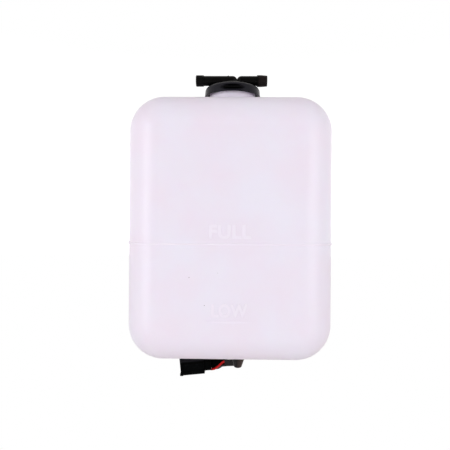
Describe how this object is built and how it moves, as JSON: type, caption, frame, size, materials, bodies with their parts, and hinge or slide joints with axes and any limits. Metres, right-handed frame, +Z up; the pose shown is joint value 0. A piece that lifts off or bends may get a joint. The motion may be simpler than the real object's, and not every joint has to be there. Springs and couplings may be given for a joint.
{
  "type": "coolant expansion tank",
  "caption": "Milky moulded coolant expansion tank with a push-on cap, elbow hose spigots on the cap, a dip tube inside and a float level sensor with short leads and a plug under the floor.",
  "frame": {"origin": "middle of the flat back of the tank, half way up the tank body", "axes": "+X to the right seen from the front, +Y out of the back, +Z up along the cap's axis"},
  "size_m": [0.1908, 0.1145, 0.3037],
  "materials": {
    "tank_plastic": "milky, soft gloss",
    "cap_plastic": "satin",
    "seal_rubber": "matt",
    "fitting_plastic": "satin",
    "tube_plastic": "milky",
    "sensor_plastic": "satin",
    "reed_glass": "clear",
    "float_plastic": "matt foam",
    "magnet_ferrite": "matt",
    "clip_steel": "bright",
    "pin_brass": "tinned",
    "resin": "gloss",
    "boot_rubber": "soft gloss",
    "red_sleeve": "soft gloss",
    "black_sleeve": "soft gloss",
    "plug_plastic": "satin",
    "wire_seal_rubber": "matt",
    "lock_plastic": "satin"
  },
  "bodies": {
    "tank": {"tank_front": "tank_plastic", "tank_back": "tank_plastic", "tank_neck": "tank_plastic", "sensor_grommet": "seal_rubber", "sensor_body": "sensor_plastic", "reed_switch": "reed_glass", "float_clip": "clip_steel", "sensor_pins": "pin_brass", "sensor_potting": "resin", "sensor_boot": "boot_rubber", "wire_red": "red_sleeve", "wire_black": "black_sleeve", "connector_housing": "plug_plastic", "connector_terminals": "pin_brass", "wire_seals": "wire_seal_rubber", "terminal_lock": "lock_plastic", "lead_guard": "plug_plastic"},
    "cap": {"cap_cover": "cap_plastic", "cap_seal": "seal_rubber"},
    "fitting": {"hose_fitting": "fitting_plastic", "fitting_retainer": "fitting_plastic", "dip_tube": "tube_plastic", "dip_tube_end": "tube_plastic"},
    "float": {"level_float": "float_plastic", "float_magnet": "magnet_ferrite"}
  },
  "joints": [
    {"name": "cap_lift", "type": "slide", "parent": "tank", "child": "cap", "axis": [0, 0, 1], "range_m": [0, 0.245]},
    {"name": "fitting_swivel", "type": "hinge", "parent": "cap", "child": "fitting", "pos_m": [0.0014, -0.057, 0.139], "axis": [0, 0, 1], "continuous": true},
    {"name": "float_slide", "type": "slide", "parent": "tank", "child": "float", "axis": [0, 0, 1], "range_m": [0, 0.012]}
  ]
}
